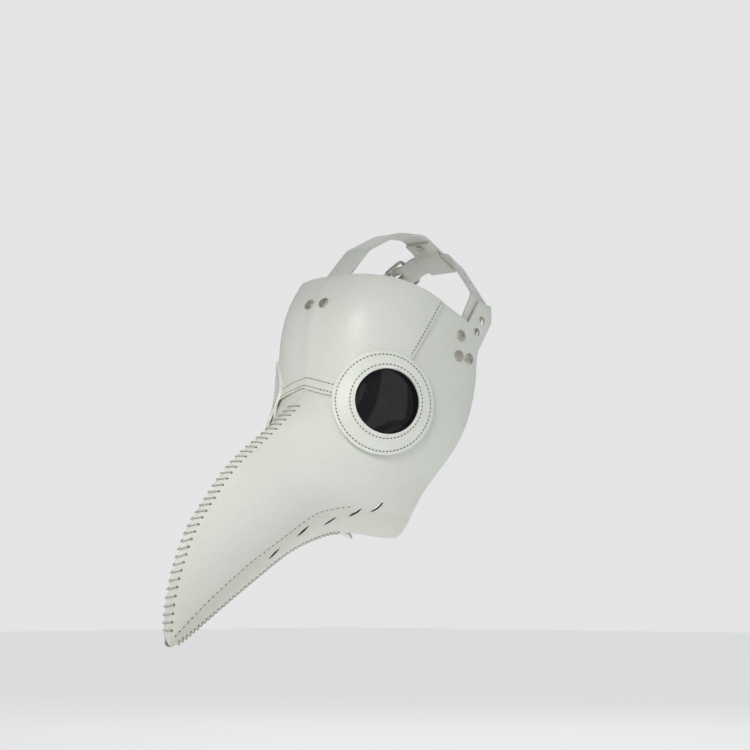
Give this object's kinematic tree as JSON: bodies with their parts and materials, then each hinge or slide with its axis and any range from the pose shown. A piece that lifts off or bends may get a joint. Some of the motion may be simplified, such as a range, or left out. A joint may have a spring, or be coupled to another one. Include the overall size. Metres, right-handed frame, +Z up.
{
  "type": "plague doctor mask",
  "caption": "Beaked costume mask of white sewn leather with smoked round eyepieces, vent slits and a buckled head harness.",
  "frame": {"origin": "bridge of the wearer's nose, where the beak's ridge starts on the centreline, on the outside of the leather", "axes": "+Z up, the mask faces -Y, +X is the wearer's left"},
  "size_m": [0.1588, 0.3343, 0.3591],
  "materials": {
    "panel_leather": "smooth satin white coated leather",
    "ring_leather": "finely grained white leather",
    "smoked_lens": "glossy smoked acetate",
    "strap_leather": "white leather with raw edges",
    "rivet_nickel": "dulled nickel",
    "buckle_steel": "nickel plate",
    "lacing_thread": "waxed thread"
  },
  "bodies": {
    "mask": {"left_side_panel": "panel_leather", "right_side_panel": "panel_leather", "forehead_panel": "panel_leather", "left_eye_ring": "ring_leather", "right_eye_ring": "ring_leather", "left_lens_backing": "ring_leather", "right_lens_backing": "ring_leather", "left_lens": "smoked_lens", "right_lens": "smoked_lens", "left_strap": "strap_leather", "right_strap": "strap_leather", "crown_strap": "strap_leather", "left_temple_rivets": "rivet_nickel", "right_temple_rivets": "rivet_nickel", "forehead_rivets": "rivet_nickel", "buckle_strap_rivet": "rivet_nickel", "crown_loop_rivet": "rivet_nickel", "buckle_frame": "buckle_steel", "ridge_lacing": "lacing_thread", "bottom_lacing": "lacing_thread"},
    "buckle_prong": {"buckle_prong": "buckle_steel"},
    "strap_keeper": {"strap_keeper": "strap_leather"}
  },
  "joints": [
    {"name": "prong_pivot", "type": "hinge", "parent": "mask", "child": "buckle_prong", "pos_m": [-0.04352, 0.15222, 0.10773], "axis": [0, -0.866, 0.5], "range_deg": [0, 70]},
    {"name": "keeper_slide", "type": "slide", "parent": "mask", "child": "strap_keeper", "axis": [-0.7255, -0.3441, -0.596], "range_m": [0, 0.0025]}
  ]
}
